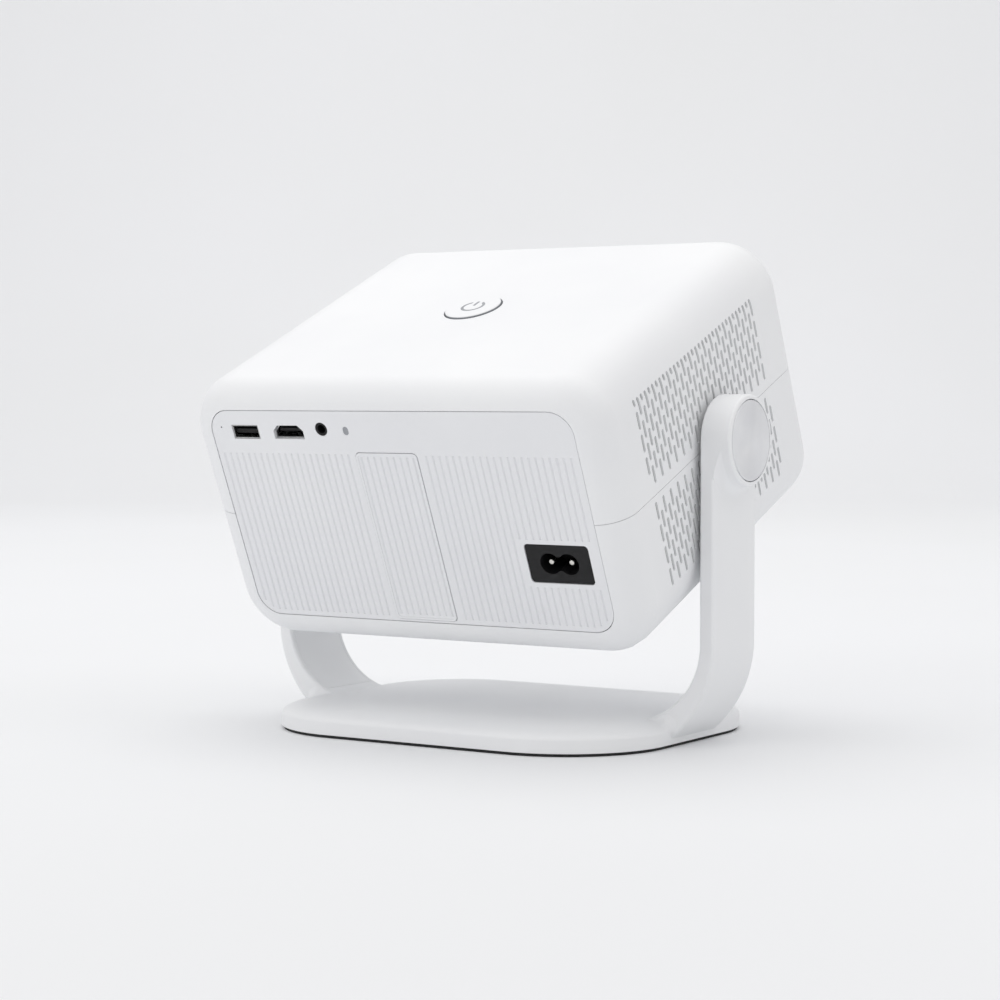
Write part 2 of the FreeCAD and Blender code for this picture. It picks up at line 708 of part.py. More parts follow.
def strip_profile(depth, top, angle):
    """Strip under the strap's inner face, from below the boss round most of the bend."""
    centre = vec(arm_inner - arm_inner_bend, 0, arm_bend_height)
    outlines = []
    for radius in (arm_inner_bend, arm_inner_bend + depth):
        points = [vec(centre.x + radius * math.cos(a), 0, centre.z - radius * math.sin(a))
                  for a in (0.0, angle / 2, angle)]
        outlines.append(points)
    inner, outer = outlines
    pieces = [Part.LineSegment(vec(arm_inner, 0, top), inner[0]), Part.Arc(*inner),
              Part.LineSegment(inner[2], outer[2]), Part.Arc(outer[2], outer[1], outer[0]),
              Part.LineSegment(outer[0], vec(arm_inner + depth, 0, top)),
              Part.LineSegment(vec(arm_inner + depth, 0, top), vec(arm_inner, 0, top))]
    return Part.Wire([piece.toShape() for piece in pieces])


def prism_y(wire, half):
    face = Part.Face(wire)
    face.translate(vec(0, -half, 0))
    return face.extrude(vec(0, 2 * half, 0))


def make_arms():
    arm = prism_y(arm_profile(), arm_half_width)
    crown = rod_x(0, boss_outer + 5, 0, pivot_height, arm_half_width)
    shank = block(0, boss_outer + 5, -arm_half_width, arm_half_width, 0, pivot_height)
    arm = arm.common(crown.fuse(shank).removeSplitter())
    soft = []
    for edge in arm.Edges:
        box = edge.BoundBox
        on_side = box.YLength < 0.01 and abs(abs(box.YMin) - arm_half_width) < 0.01 and box.ZMin > plate_top
        on_crown = box.XLength < 0.01 and box.ZMax > pivot_height + 5 and box.XMin < arm_inner + 0.1
        if on_side or on_crown:
            soft.append(edge)
    arm = arm.makeFillet(arm_edge_radius, soft).fuse(hinge_boss())
    cover_top = pivot_height - 22.0
    cover = prism_y(strip_profile(1.8, cover_top, math.radians(66)), arm_half_width - 2.5)
    pocket = prism_y(strip_profile(1.8, cover_top + 0.15, math.radians(66.3)), arm_half_width - 2.35)
    hollow = prism_y(strip_profile(3.9, cover_top - 6.0, math.radians(55)), arm_half_width - 6.0)
    arm = arm.cut(pocket.fuse(hollow))
    arm = arm.cut(fuse_all([rod_x(90, 104, 0, pivot_height, bolt_radius),
                            rod_x(90, 98.3, 0, pivot_height, washer_radius),
                            rod_x(104, 120, 0, pivot_height, 7.0),
                            rod_x(108, 120, 0, pivot_height, cap_radius + cap_gap)]))
    holes = [rod_z(0, 6.4, 76, y, 1.5) for y in (-9, 9)]
    arm = arm.cut(Part.makeCompound(holes))
    for side, name in ((1, "left"), (-1, "right")):
        place = (lambda shape: shape) if side > 0 else mirrored
        save("arm_" + name, place(arm), head=False)
        save("arm_cover_" + name, place(cover), head=False)


def base_prism(inset, z0, z1):
    return rounded_block(inset - base_half_length, base_half_length - inset,
                         base_centre - base_half_depth + inset, base_centre + base_half_depth - inset,
                         z0, z1, along_z, base_corner - inset)


def make_base():
    shell = base_prism(0.0, pad_height, base_top)
    rim = [edge for edge in shell.Edges if edge.BoundBox.ZMin > base_top - 0.1]
    shell = shell.makeFillet(base_edge_radius, rim)
    arm_prism = prism_y(arm_profile(), arm_half_width)
    foot = block(60, 110, -arm_half_width, arm_half_width, 0, 25).common(arm_prism)
    shell = shell.fuse(foot).fuse(mirrored(foot))
    joint = []
    for edge in shell.Edges:
        box = edge.BoundBox
        on_side = box.YLength < 0.01 and abs(abs(box.YMin) - arm_half_width) < 0.01
        if on_side and box.ZMax < base_top + 0.01 and box.ZMin > plate_top - 0.01:
            joint.append(edge)
    shell = shell.makeFillet(base_collar, joint)
    cavity = base_prism(base_wall, pad_height, base_top - base_wall)
    shell = shell.cut(cavity)
    bosses = [rod_z(plate_top, base_top - base_wall, x, base_centre + y, 4.0)
              for x in (-50, 50) for y in (-42, 42)]
    shell = shell.multiFuse(bosses)
    shell = shell.cut(Part.makeCompound([rod_z(0, 6.4, x, base_centre + y, 1.5)
                                         for x in (-50, 50) for y in (-42, 42)]))
    shell = shell.cut(foot).cut(mirrored(foot))
    save("base_shell", shell, head=False)
    screw_points = [(x, y) for x in (-76, 76) for y in (-9, 9)]
    screw_points += [(x, base_centre + y) for x in (-50, 50) for y in (-42, 42)]
    plate = base_prism(base_wall, pad_height, plate_top)
    plate = plate.cut(Part.makeCompound([rod_z(0, 5, x, y, 1.5) for x, y in screw_points]))
    plate = plate.cut(Part.makeCompound([rod_z(0, pad_height + 1.1, x, y, 3.1) for x, y in screw_points]))
    save("base_plate", plate, head=False)
    screws = [rod_z(pad_height, pad_height + 1.1, x, y, 3.0).fuse(rod_z(pad_height + 1.1, 6.2, x, y, 1.5))
              for x, y in screw_points]
    save("base_screws", Part.makeCompound(screws), head=False)
    save("base_pad", base_prism(1.0, 0.0, pad_height), head=False)


os.makedirs("parts", exist_ok=True)
make_shells()
make_shell_screws()
make_vent_meshes()
make_rear_panel()
make_door()
make_door_gasket()
make_front_panel()
make_inlet()
tongues = [make_usb(), make_hdmi()]
save("port_tongues", Part.makeCompound(tongues))
make_audio()
save("status_led", led_prism(0.0, panel_back - 2, panel_face - 0.05))
make_button()
make_boards()
make_engine()
make_lens()
make_fan()
make_speakers()
make_hinge()
make_arms()
make_base()
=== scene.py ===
import math
import bpy
import numpy as np
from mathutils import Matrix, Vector


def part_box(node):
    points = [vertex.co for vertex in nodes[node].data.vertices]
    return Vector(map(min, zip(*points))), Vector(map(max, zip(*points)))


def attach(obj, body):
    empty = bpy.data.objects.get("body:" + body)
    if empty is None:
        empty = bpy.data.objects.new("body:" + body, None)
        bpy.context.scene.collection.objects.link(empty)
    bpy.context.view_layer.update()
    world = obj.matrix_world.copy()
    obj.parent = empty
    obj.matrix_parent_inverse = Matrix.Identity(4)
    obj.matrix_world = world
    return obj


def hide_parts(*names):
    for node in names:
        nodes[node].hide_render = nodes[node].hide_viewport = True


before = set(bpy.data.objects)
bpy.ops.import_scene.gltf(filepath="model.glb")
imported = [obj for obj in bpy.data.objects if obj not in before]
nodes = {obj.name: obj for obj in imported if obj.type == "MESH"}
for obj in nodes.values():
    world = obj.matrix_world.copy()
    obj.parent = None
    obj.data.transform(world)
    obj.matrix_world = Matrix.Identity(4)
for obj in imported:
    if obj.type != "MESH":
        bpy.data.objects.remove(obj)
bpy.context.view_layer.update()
mm = 0.001
print("frame loaded:", len(nodes), "nodes")


# ---------- nodes and colours

def hexToLinear(code):
    # sRGB hex to the linear colour that the shader wants
    parts = np.array([int(code[i:i + 2], 16) for i in (1, 3, 5)]) / 255
    linear = np.where(parts <= 0.04045, parts / 12.92, ((parts + 0.055) / 1.055) ** 2.4)
    return (*linear.tolist(), 1.0)


def addNode(tree, kind, settings, inputs):
    # one shader node with its settings; an input is a value or a (node, output name) pair
    node = tree.nodes.new(kind)
    for name, value in settings.items():
        setattr(node, name, value)
    for name, value in inputs.items():
        if isinstance(value, tuple) and isinstance(value[0], bpy.types.Node):
            tree.links.new(value[0].outputs[value[1]], node.inputs[name])
        else:
            node.inputs[name].default_value = value
    return node


def perMetre(sizeMm):
    # a pattern's scale on Object coordinates for one feature of this real size
    return 1 / (sizeMm * mm)


def startMaterial(name, roughness, metallic=0.0, **sockets):
    # a material with its main shader; an underscore in a keyword is a space in the socket's name
    material = bpy.data.materials.new(name)
    material.use_nodes = True
    tree = material.node_tree
    shader = tree.nodes["Principled BSDF"]
    shader.inputs["Roughness"].default_value = roughness
    shader.inputs["Metallic"].default_value = metallic
    for socket, value in sockets.items():
        shader.inputs[socket.replace("_", " ")].default_value = value
    place = addNode(tree, "ShaderNodeTexCoord", {}, {})
    return material, tree, shader, (place, "Object")


def twoShades(tree, source, stops):
    # ramp between two shades; stops is ((position, hex), (position, hex))
    ramp = addNode(tree, "ShaderNodeValToRGB", {}, {"Fac": source})
    for element, (position, code) in zip(ramp.color_ramp.elements, stops):
        element.position = position
        element.color = hexToLinear(code)
    return ramp


noiseSpan = (0.3, 0.7)  # nearly all of a noise texture's values lie between these


def varyColour(tree, shader, place, low, high, driftMm, detail=3.0):
    # colour that drifts softly between two close shades
    noise = addNode(tree, "ShaderNodeTexNoise", {},
                    {"Vector": place, "Scale": perMetre(driftMm), "Detail": detail})
    ramp = twoShades(tree, (noise, "Fac"), ((noiseSpan[0], low), (noiseSpan[1], high)))
    tree.links.new(ramp.outputs["Color"], shader.inputs["Base Color"])


def varyRoughness(tree, shader, place, low, high, patchMm):
    noise = addNode(tree, "ShaderNodeTexNoise", {},
                    {"Vector": place, "Scale": perMetre(patchMm), "Detail": 4.0})
    spread = addNode(tree, "ShaderNodeMapRange", {},
                     {"Value": (noise, "Fac"), "From Min": noiseSpan[0], "From Max": noiseSpan[1],
                      "To Min": low, "To Max": high})
    tree.links.new(spread.outputs["Result"], shader.inputs["Roughness"])


def addBump(tree, shader, height, depthMm, strength):
    bump = addNode(tree, "ShaderNodeBump", {},
                   {"Height": height, "Distance": depthMm * mm, "Strength": strength})
    tree.links.new(bump.outputs["Normal"], shader.inputs["Normal"])


def addGrain(tree, shader, place, grainMm, depthMm, strength):
    grain = addNode(tree, "ShaderNodeTexNoise", {}, {"Vector": place, "Scale": perMetre(grainMm)})
    addBump(tree, shader, (grain, "Fac"), depthMm, strength)


def addPebble(tree, shader, place, grainMm, depthMm, strength):
    # cells instead of noise: rounded bumps side by side
    cells = addNode(tree, "ShaderNodeTexVoronoi", {}, {"Vector": place, "Scale": perMetre(grainMm)})
    addBump(tree, shader, (cells, "Distance"), depthMm, strength)


def mouldedSurface(tree, shader, place, look):
    # the usual finish: drifting colour, patchy gloss and a fine relief, all from one dictionary
    varyColour(tree, shader, place, *look["shades"], look["driftMm"], look.get("detail", 3.0))
    varyRoughness(tree, shader, place, *look["rough"], look["patchMm"])
    relief = addPebble if look.get("pebbled") else addGrain
    relief(tree, shader, place, look["grainMm"], look["depthMm"], look["strength"])


# ---------- materials

def sparkErodedAbs(name, light, dark):
    # white ABS from a spark-eroded mould: satin, with a fine even grain that takes the edge off
    # highlights. The real grain is about 0.1 mm and is drawn at 0.45 mm so that it can show.
    look = {"shades": (dark, light), "driftMm": 70.0, "rough": (0.46, 0.54), "patchMm": 9.0,
            "grainMm": 0.45, "depthMm": 0.012, "strength": 0.6}
    material, tree, shader, place = startMaterial(name, 0.5, IOR=1.53)
    mouldedSurface(tree, shader, place, look)
    return material


def turnedLacquer():
    # cast zinc cap, face-turned and lacquered in pearl white: the circular tool marks stretch each
    # reflection outwards, so the light fans out from the centre in wedges
    look = {"shades": ("#e6e7ea", "#eeeff1"), "driftMm": 12.0, "rough": (0.32, 0.4), "patchMm": 2.0,
            "grainMm": 0.3, "depthMm": 0.003, "strength": 0.4}
    material, tree, shader, place = startMaterial(
        "lacqueredTurnedZinc", 0.36, 0.3, IOR=1.5, Anisotropic=0.85, Coat_Weight=0.15, Coat_Roughness=0.25)
    mouldedSurface(tree, shader, place, look)
    turning = addNode(tree, "ShaderNodeTangent", {"direction_type": "RADIAL", "axis": "X"}, {})
    tree.links.new(turning.outputs["Tangent"], shader.inputs["Tangent"])
    return material


def blackPbt():
    # glass-filled PBT of the mains inlet: near black, dull, with a faint flow pattern
    look = {"shades": ("#121213", "#1b1b1d"), "driftMm": 4.0, "detail": 6.0, "rough": (0.38, 0.52),
            "patchMm": 1.5, "grainMm": 0.3, "depthMm": 0.02, "strength": 0.5}
    material, tree, shader, place = startMaterial(
        "glassFilledPbtBlack", 0.5, IOR=1.5, Specular_IOR_Level=0.3)
    mouldedSurface(tree, shader, place, look)
    return material


def blackNylon():
    # matt black nylon of the sockets, fan and lens parts
    look = {"shades": ("#0e0e0f", "#161618"), "driftMm": 8.0, "rough": (0.52, 0.68), "patchMm": 2.5,
            "grainMm": 0.4, "depthMm": 0.02, "strength": 0.5}
    material, tree, shader, place = startMaterial(
        "mattNylonBlack", 0.6, IOR=1.5, Specular_IOR_Level=0.35)
    mouldedSurface(tree, shader, place, look)
    return material


def smokedAcrylic():
    # polished smoked acrylic of the front: deep, almost black, with a faint waviness from moulding
    look = {"shades": ("#0c0c0f", "#141419"), "driftMm": 40.0, "rough": (0.04, 0.09), "patchMm": 20.0,
            "grainMm": 14.0, "depthMm": 0.02, "strength": 0.25}
    material, tree, shader, place = startMaterial(
        "smokedAcrylic", 0.06, IOR=1.49, Coat_Weight=1.0, Coat_Roughness=0.03)
    mouldedSurface(tree, shader, place, look)
    return material


def platedSteel():
    # zinc-plated pressed steel: bright, with rolling streaks and soft blotches
    look = {"shades": ("#a7a8aa", "#c6c6c4"), "driftMm": 3.0, "detail": 5.0, "rough": (0.22, 0.4),
            "patchMm": 1.2, "grainMm": 0.6, "depthMm": 0.01, "strength": 0.5}
    material, tree, shader, place = startMaterial("zincPlatedSteel", 0.3, 1.0)
    mouldedSurface(tree, shader, place, look)
    return material


def nickelPin():
    # nickel-plated brass pins: polished, catching a hard point of light on their round ends
    look = {"shades": ("#cfcdc8", "#e4e2dd"), "driftMm": 1.5, "rough": (0.12, 0.22), "patchMm": 0.8,
            "grainMm": 0.5, "depthMm": 0.004, "strength": 0.4}
    material, tree, shader, place = startMaterial("nickelPlatedBrass", 0.16, 1.0)
    mouldedSurface(tree, shader, place, look)
    return material


def extrudedAluminium():
    # raw extruded aluminium: soft grey with lines along the extrusion. A wave texture draws its
    # lines about a third of waveMm apart.
    look = {"shades": ("#b4b6b9", "#c9cbcd"), "driftMm": 10.0, "rough": (0.3, 0.46), "patchMm": 2.0,
            "waveMm": 16.0, "wobble": 1.5, "depthMm": 0.01, "strength": 0.5}
    material, tree, shader, place = startMaterial("extrudedAluminium", 0.38, 1.0)
    varyColour(tree, shader, place, *look["shades"], look["driftMm"])
    varyRoughness(tree, shader, place, *look["rough"], look["patchMm"])
    lines = addNode(tree, "ShaderNodeTexWave", {"bands_direction": "Z"},
                    {"Vector": place, "Scale": perMetre(look["waveMm"]), "Distortion": look["wobble"]})
    addBump(tree, shader, (lines, "Fac"), look["depthMm"], look["strength"])
    return material


def wovenMesh():
    # grey acoustic gauze behind the vents: over-and-under threads with darker pores between them
    look = {"threadMm": 0.7, "thread": "#c8cac9", "pore": "#9da09e", "poreEdge": 0.45, "threadEdge": 0.8,
            "depthMm": 0.1, "strength": 0.8}
    material, tree, shader, place = startMaterial("wovenPolyesterGauze", 0.75)
    split = addNode(tree, "ShaderNodeSeparateXYZ", {}, {"Vector": place})
    bands = []
    for axis in ("Y", "Z"):
        turn = addNode(tree, "ShaderNodeMath", {"operation": "MULTIPLY"},
                       {0: (split, axis), 1: math.pi * perMetre(look["threadMm"])})
        wave = addNode(tree, "ShaderNodeMath", {"operation": "SINE"}, {0: (turn, "Value")})
        bands.append(addNode(tree, "ShaderNodeMath", {"operation": "ABSOLUTE"}, {0: (wave, "Value")}))
    weave = addNode(tree, "ShaderNodeMath", {"operation": "MAXIMUM"},
                    {0: (bands[0], "Value"), 1: (bands[1], "Value")})
    ramp = twoShades(tree, (weave, "Value"),
                     ((look["poreEdge"], look["pore"]), (look["threadEdge"], look["thread"])))
    tree.links.new(ramp.outputs["Color"], shader.inputs["Base Color"])
    addBump(tree, shader, (weave, "Value"), look["depthMm"], look["strength"])
    return material


def printedGrey():
    # grey two-shot ABS of the power symbol and the light pipe
    look = {"shades": ("#8f9297", "#9da0a5"), "driftMm": 6.0, "rough": (0.35, 0.48), "patchMm": 1.0,
            "grainMm": 0.3, "depthMm": 0.006, "strength": 0.5}
    material, tree, shader, place = startMaterial("twoShotAbsGrey", 0.4, IOR=1.53)
    mouldedSurface(tree, shader, place, look)
    return material


def siliconeRubber():
    # black silicone anti-slip pad: dull, slightly dusty, with a fine pebble
    look = {"shades": ("#1c1c1d", "#2a2a2b"), "driftMm": 6.0, "detail": 6.0, "rough": (0.7, 0.9),
            "patchMm": 3.0, "pebbled": True, "grainMm": 0.8, "depthMm": 0.05, "strength": 0.7}
    material, tree, shader, place = startMaterial("siliconeRubberBlack", 0.8)
    mouldedSurface(tree, shader, place, look)
    return material


def openCellFoam():
    # charcoal polyurethane foam: fully matt, with open cells
    look = {"shades": ("#202022", "#38383a"), "driftMm": 0.8, "detail": 8.0, "rough": (0.85, 1.0),
            "patchMm": 1.0, "pebbled": True, "grainMm": 0.7, "depthMm": 0.3, "strength": 1.0}
    material, tree, shader, place = startMaterial("openCellFoam", 0.95)
    mouldedSurface(tree, shader, place, look)
    return material


def circuitBoard():
    # green solder mask over copper tracks that show as paler lines
    look = {"trackMm": 2.2, "mask": "#0c3b22", "track": "#1d5c38", "trackEdge": 0.06, "maskEdge": 0.12,
            "depthMm": 0.03, "strength": 0.5, "rough": (0.28, 0.42), "patchMm": 5.0}
    material, tree, shader, place = startMaterial("solderMaskGreen", 0.35, IOR=1.5)
    tracks = addNode(tree, "ShaderNodeTexVoronoi", {"distance": "MANHATTAN", "feature": "DISTANCE_TO_EDGE"},
                     {"Vector": place, "Scale": perMetre(look["trackMm"])})
    ramp = twoShades(tree, (tracks, "Distance"),
                     ((look["trackEdge"], look["track"]), (look["maskEdge"], look["mask"])))
    tree.links.new(ramp.outputs["Color"], shader.inputs["Base Color"])
    addBump(tree, shader, (ramp, "Color"), look["depthMm"], look["strength"])
    varyRoughness(tree, shader, place, *look["rough"], look["patchMm"])
    return material


def windingTape():
    # yellow polyester tape round the transformer, with the lap of each turn showing
    look = {"shades": ("#b89a2e", "#cfb03f"), "driftMm": 5.0, "rough": (0.22, 0.4), "patchMm": 2.0,
            "grainMm": 3.0, "depthMm": 0.08, "strength": 0.6}
    material, tree, shader, place = startMaterial("polyesterTapeYellow", 0.3, IOR=1.6)
    mouldedSurface(tree, shader, place, look)
    return material


def coatedGlass():
    # optical glass with an anti-reflection coating: clear, with a violet cast
    look = {"shades": ("#e3ecf2", "#eef3f7"), "driftMm": 30.0, "rough": (0.01, 0.03), "patchMm": 15.0,
            "grainMm": 20.0, "depthMm": 0.002, "strength": 0.2}
    material, tree, shader, place = startMaterial(
        "coatedOpticalGlass", 0.02, IOR=1.52, Transmission_Weight=0.9, Coat_Weight=0.6, Coat_Roughness=0.02)
    shader.inputs["Coat Tint"].default_value = hexToLinear("#b9a6ff")
    mouldedSurface(tree, shader, place, look)
    return material


def polarisedPanel():
    # LCD cell with its polariser: dark blue-grey with a fine pixel grid
    look = {"shades": ("#14161d", "#20232c"), "driftMm": 12.0, "rough": (0.08, 0.16), "patchMm": 6.0,
            "pebbled": True, "grainMm": 0.5, "depthMm": 0.005, "strength": 0.4}
    material, tree, shader, place = startMaterial("polarisedLcdCell", 0.12, IOR=1.52)
    mouldedSurface(tree, shader, place, look)
    return material


def naturalNylon():
    # off-white nylon friction washer
    look = {"shades": ("#c9c6ba", "#d8d5cb"), "driftMm": 5.0, "rough": (0.42, 0.58), "patchMm": 2.0,
            "grainMm": 0.5, "depthMm": 0.02, "strength": 0.5}
    material, tree, shader, place = startMaterial("naturalNylon", 0.5, IOR=1.53)
    mouldedSurface(tree, shader, place, look)
    return material


whiteAbs = sparkErodedAbs("mouldedAbsWhite", "#f4f5f6", "#f0f1f3")
panelAbs = sparkErodedAbs("mouldedAbsPanel", "#eff0f2", "#ebecef")
cap = turnedLacquer()
finishes = {
    whiteAbs: ("top_shell", "bottom_shell", "power_button", "arm_left", "arm_right", "arm_cover_left",
               "arm_cover_right", "base_shell"),
    panelAbs: ("rear_panel", "service_door"),
    cap: ("pivot_cap_left", "pivot_cap_right"),
    blackPbt(): ("ac_inlet", "capacitors"),
    blackNylon(): ("port_tongues", "audio_jack", "lens_hood", "optical_housing", "lens_sleeve", "lens_barrel",
                   "fan_frame", "fan_rotor", "speaker_left", "speaker_right", "tact_switch"),
    smokedAcrylic(): ("front_panel",),
    platedSteel(): ("usb_port", "hdmi_port", "shell_screws", "hinge_hub_left", "hinge_hub_right",
                    "pivot_bolt_left", "pivot_bolt_right", "hinge_nuts", "disc_springs", "base_plate",
                    "base_screws", "focus_screw", "focus_motor"),
    nickelPin(): ("ac_pins",),
    extrudedAluminium(): ("heat_sink", "processor_cooler"),
    wovenMesh(): ("vent_mesh_left", "vent_mesh_right"),
    printedGrey(): ("power_mark", "status_led"),
    siliconeRubber(): ("base_pad",),
    openCellFoam(): ("door_gasket",),
    circuitBoard(): ("main_board", "power_board", "button_board", "led_board"),
    windingTape(): ("transformer",),
    coatedGlass(): ("lens_window", "fresnel_lenses", "condenser_lens", "lens_glass"),
    polarisedPanel(): ("lcd_panel",),
    naturalNylon(): ("friction_washer_left", "friction_washer_right"),
}
print("materials made:", len(finishes))


# ---------- the carried-over parts

nodeShape = {"sharpAngle": math.radians(32), "weldMm": 0.002}


def roundedShading(angle):
    # node group: shade smooth, but keep edges sharper than the angle crisp
    tree = bpy.data.node_groups.new("roundedShading", "GeometryNodeTree")
    tree.interface.new_socket("Geometry", in_out="INPUT", socket_type="NodeSocketGeometry")
    tree.interface.new_socket("Geometry", in_out="OUTPUT", socket_type="NodeSocketGeometry")
    start = addNode(tree, "NodeGroupInput", {}, {})
    bend = addNode(tree, "GeometryNodeInputMeshEdgeAngle", {}, {})
    soft = addNode(tree, "FunctionNodeCompare", {"data_type": "FLOAT", "operation": "LESS_THAN"},
                   {0: (bend, "Unsigned Angle"), 1: angle})
    faces = addNode(tree, "GeometryNodeSetShadeSmooth", {"domain": "FACE"}, {"Geometry": (start, "Geometry")})
    edges = addNode(tree, "GeometryNodeSetShadeSmooth", {"domain": "EDGE"},
                    {"Geometry": (faces, "Geometry"), "Shade Smooth": (soft, "Result")})
    addNode(tree, "NodeGroupOutput", {}, {"Geometry": (edges, "Geometry")})
    return tree


def finishNode(node, material, shading):
    # material, welded seams between the CAD faces, and normals that follow the large faces
    node.data.materials.clear()
    node.data.materials.append(material)
    weld = node.modifiers.new("weld", "WELD")
    weld.merge_threshold = nodeShape["weldMm"] * mm
    smooth = node.modifiers.new("shading", "NODES")
    smooth.node_group = shading
    weighted = node.modifiers.new("weighted", "WEIGHTED_NORMAL")
    weighted.keep_sharp = True


def finishNodes():
    shading = roundedShading(nodeShape["sharpAngle"])
    for material, names in finishes.items():
        for name in names:
            finishNode(nodes[name], material, shading)
    bare = set(nodes) - {name for names in finishes.values() for name in names}
    print("finished", len(nodes), "nodes; without a finish:", sorted(bare))


finishNodes()


# ---------- new pieces

def surfaceObject(name, rings, material, closeAround=True, closeEnds=()):
    # quads between neighbouring rings of points; rings is an array of (ring, point, xyz) in metres
    count, size = rings.shape[:2]
    index = np.arange(count * size).reshape(count, size)
    step = np.roll(index, -1, axis=1) if closeAround else index[:, 1:]
    here = index if closeAround else index[:, :-1]
    quads = np.stack([here[:-1], step[:-1], step[1:], here[1:]], axis=-1).reshape(-1, 4)
    faces = quads.tolist()
    if "start" in closeEnds:
        faces.append(index[0][::-1].tolist())
    if "end" in closeEnds:
        faces.append(index[-1].tolist())
    mesh = bpy.data.meshes.new(name)
    mesh.from_pydata(rings.reshape(-1, 3).tolist(), [], faces)
    mesh.polygons.foreach_set("use_smooth", np.ones(len(mesh.polygons), bool))
    mesh.materials.append(material)
    piece = bpy.data.objects.new(name, mesh)
    bpy.context.scene.collection.objects.link(piece)
    return piece


capShape = {"ringPitch": 0.42, "ringDepth": 0.012, "rim": 0.55, "rimSteps": 7, "ledge": 0.15, "dish": 0.06,
            "points": 256, "centre": 0.35, "stepsPerRing": 4}


def turned(profile, centre, side, points):
    # profile of (radius, height) in millimetres turned about X; side is which way the heights point
    angle = np.linspace(0, 2 * math.pi, points, endpoint=False) * side
    radius, height = profile[:, :1], profile[:, 1:]
    ring = np.stack([np.broadcast_to(side * height, (len(profile), points)),
                     radius * np.cos(angle), radius * np.sin(angle)], axis=-1)
    return np.asarray(centre) + ring * mm


def capProfile(radius, top):
    # rounded rim, then a shallow dish with a fine wave of tool rings, in to the centre
    rim, pitch = capShape["rim"], capShape["ringPitch"]
    curve = np.linspace(0, math.pi / 2, capShape["rimSteps"])
    edge = np.stack([radius - rim + rim * np.cos(curve), top - rim + rim * np.sin(curve)], axis=1)
    across = np.arange(radius - rim - capShape["ledge"], capShape["centre"], -pitch / capShape["stepsPerRing"])
    wave = capShape["ringDepth"] * (np.cos(2 * math.pi * across / pitch) - 1) / 2
    dish = capShape["dish"] * (1 - (across / radius) ** 2)
    face = np.stack([across, top - dish + wave], axis=1)
    return np.concatenate([[[radius, 0.0]], edge, face])


def makeCaps():
    for side, name in ((1, "left"), (-1, "right")):
        low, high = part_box("pivot_cap_" + name)
        centre = ((low.x if side > 0 else high.x), (low.y + high.y) / 2, (low.z + high.z) / 2)
        profile = capProfile((high.z - low.z) / 2 / mm, (high.x - low.x) / mm)
        rings = turned(profile, centre, side, capShape["points"])
        piece = surfaceObject("turnedCap" + name.capitalize(), rings, cap, closeEnds=("start", "end"))
        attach(piece, "stand")
        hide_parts("pivot_cap_" + name)
    print("caps made")


makeCaps()


# lengths in millimetres; each bend of the arms is (centre x, centre z, radius)
baseShape = {"corner": 44.0, "padInset": 1.0, "wallTop": 5.9, "crown": 14.0, "top": 10.4, "lip": 2.4,
             "lipTop": 3.5, "edgeBreak": 0.12, "armHalf": 17.6, "beside": (-1.0, 6.0), "fillet": 5.0,
             "cover": 0.25, "innerBend": (66.6, 40.0, 30.5), "outerBend": (56.5, 40.0, 46.5),
             "cornerGap": 0.5, "coreScale": 0.02}
baseSteps = {"arm": 12, "beside": 29, "end": 5, "side": 60, "corner": 48, "crown": 30, "wall": 12,
             "flat": 33, "core": 19}


def baseOutline(halfLength, halfDepth):
    # points round a rounded rectangle, closer together beside the arms; each has its corner-circle
    # centre and its outward direction, so that an inset moves it straight inwards
    flatX, flatY = halfLength - baseShape["corner"], halfDepth - baseShape["corner"]
    beside = baseShape["armHalf"] + np.linspace(*baseShape["beside"], baseSteps["beside"])
    endPart = np.concatenate([np.linspace(0, beside[0], baseSteps["arm"])[:-1], beside,
                              np.linspace(beside[-1], flatY, baseSteps["end"])[1:]])
    endPart = np.concatenate([-endPart[:0:-1], endPart])
    sidePart = np.linspace(-flatX, flatX, baseSteps["side"])
    quarter = np.linspace(0, math.pi / 2, baseSteps["corner"] + 2)[1:-1]
    stretches = ((flatX, endPart, 0), (flatX, flatY, quarter),
                 (sidePart[::-1], flatY, math.pi / 2), (-flatX, flatY, quarter + math.pi / 2),
                 (-flatX, endPart[::-1], math.pi), (-flatX, -flatY, quarter + math.pi),
                 (sidePart, -flatY, 1.5 * math.pi), (flatX, -flatY, quarter + 1.5 * math.pi))
    points = np.concatenate([np.stack(np.broadcast_arrays(*stretch), axis=1) for stretch in stretches])
    angle = points[:, 2]
    return points[:, :2], np.stack([np.cos(angle), np.sin(angle)], axis=1)


def baseProfile(foot):
    # (inset, height) pairs: inside lip, bottom, wall, crown, then flat towards the middle
    shape = baseShape
    turn = np.linspace(0, math.pi / 2, baseSteps["crown"])
    bottom = np.array([[shape["lip"], shape["lipTop"]], [shape["lip"], foot], [shape["edgeBreak"], foot]])
    wall = np.stack([np.zeros(baseSteps["wall"]),
                     np.linspace(foot, shape["wallTop"], baseSteps["wall"] + 1)[:-1]], axis=1)
    wall[0, 1] += shape["edgeBreak"]
    crown = np.stack([shape["crown"] * (1 - np.cos(turn)),
                      shape["wallTop"] + (shape["top"] - shape["wallTop"]) * np.sin(turn)], axis=1)
    inwards = np.linspace(shape["crown"], shape["corner"] - shape["cornerGap"], baseSteps["flat"] + 1)[1:]
    flat = np.stack([inwards, np.full(baseSteps["flat"], shape["top"])], axis=1)
    return np.concatenate([bottom, wall, crown, flat]), len(bottom)


